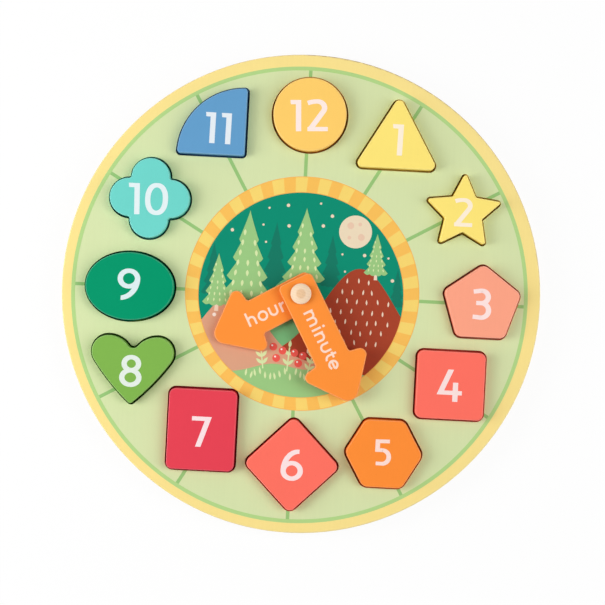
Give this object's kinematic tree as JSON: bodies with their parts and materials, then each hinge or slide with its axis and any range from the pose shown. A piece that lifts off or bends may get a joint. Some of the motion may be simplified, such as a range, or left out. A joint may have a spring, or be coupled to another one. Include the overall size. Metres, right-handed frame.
{
  "type": "teaching clock",
  "caption": "Round wooden teaching clock lying on its back, with lift-out shape blocks as its hours and two arrow hands that turn on a centre peg.",
  "frame": {"origin": "middle of the board's back face, on the surface it lies on", "axes": "+Z out of the face, +Y towards twelve o'clock, +X towards three o'clock"},
  "size_m": [0.28, 0.28, 0.0247],
  "materials": {
    "back_sheet": "bare birch plywood, sanded, painted where it is the floor of the recesses",
    "face_print": "wood sheet painted and printed, matt",
    "bare_wood": "bare turned wood",
    "washer_fibre": "thin pressed fibre",
    "hand_paint": "orange paint, satin",
    "paint_1": "paint on wood, satin",
    "paint_2": "paint on wood, satin",
    "paint_3": "paint on wood, satin",
    "paint_4": "paint on wood, satin",
    "paint_5": "paint on wood, satin",
    "paint_6": "paint on wood, satin",
    "paint_7": "paint on wood, satin",
    "paint_8": "paint on wood, satin",
    "paint_9": "paint on wood, satin",
    "paint_10": "paint on wood, satin",
    "paint_11": "paint on wood, satin",
    "paint_12": "paint on wood, satin"
  },
  "bodies": {
    "board": {"back_plate": "back_sheet", "front_plate": "face_print", "centre_peg": "bare_wood", "face_washer": "washer_fibre", "spacer_washer": "washer_fibre", "head_washer": "washer_fibre"},
    "hour_hand": {"hour_hand": "hand_paint"},
    "minute_hand": {"minute_hand": "hand_paint"},
    "block_1_triangle": {"block_1_triangle": "paint_1"},
    "block_2_star": {"block_2_star": "paint_2"},
    "block_3_pentagon": {"block_3_pentagon": "paint_3"},
    "block_4_square": {"block_4_square": "paint_4"},
    "block_5_hexagon": {"block_5_hexagon": "paint_5"},
    "block_6_diamond": {"block_6_diamond": "paint_6"},
    "block_7_rectangle": {"block_7_rectangle": "paint_7"},
    "block_8_heart": {"block_8_heart": "paint_8"},
    "block_9_oval": {"block_9_oval": "paint_9"},
    "block_10_flower": {"block_10_flower": "paint_10"},
    "block_11_quarter": {"block_11_quarter": "paint_11"},
    "block_12_circle": {"block_12_circle": "paint_12"}
  },
  "joints": [
    {"name": "hour_hand_turn", "type": "hinge", "parent": "board", "child": "hour_hand", "pos_m": [0, 0, 0.0129], "axis": [0, 0, 1], "continuous": true},
    {"name": "minute_hand_turn", "type": "hinge", "parent": "board", "child": "minute_hand", "pos_m": [0, 0, 0.0176], "axis": [0, 0, 1], "continuous": true},
    {"name": "block_1_triangle_lift", "type": "slide", "parent": "board", "child": "block_1_triangle", "axis": [0, 0, 1], "range_m": [0, 0.03]},
    {"name": "block_2_star_lift", "type": "slide", "parent": "board", "child": "block_2_star", "axis": [0, 0, 1], "range_m": [0, 0.03]},
    {"name": "block_3_pentagon_lift", "type": "slide", "parent": "board", "child": "block_3_pentagon", "axis": [0, 0, 1], "range_m": [0, 0.03]},
    {"name": "block_4_square_lift", "type": "slide", "parent": "board", "child": "block_4_square", "axis": [0, 0, 1], "range_m": [0, 0.03]},
    {"name": "block_5_hexagon_lift", "type": "slide", "parent": "board", "child": "block_5_hexagon", "axis": [0, 0, 1], "range_m": [0, 0.03]},
    {"name": "block_6_diamond_lift", "type": "slide", "parent": "board", "child": "block_6_diamond", "axis": [0, 0, 1], "range_m": [0, 0.03]},
    {"name": "block_7_rectangle_lift", "type": "slide", "parent": "board", "child": "block_7_rectangle", "axis": [0, 0, 1], "range_m": [0, 0.03]},
    {"name": "block_8_heart_lift", "type": "slide", "parent": "board", "child": "block_8_heart", "axis": [0, 0, 1], "range_m": [0, 0.03]},
    {"name": "block_9_oval_lift", "type": "slide", "parent": "board", "child": "block_9_oval", "axis": [0, 0, 1], "range_m": [0, 0.03]},
    {"name": "block_10_flower_lift", "type": "slide", "parent": "board", "child": "block_10_flower", "axis": [0, 0, 1], "range_m": [0, 0.03]},
    {"name": "block_11_quarter_lift", "type": "slide", "parent": "board", "child": "block_11_quarter", "axis": [0, 0, 1], "range_m": [0, 0.03]},
    {"name": "block_12_circle_lift", "type": "slide", "parent": "board", "child": "block_12_circle", "axis": [0, 0, 1], "range_m": [0, 0.03]}
  ]
}
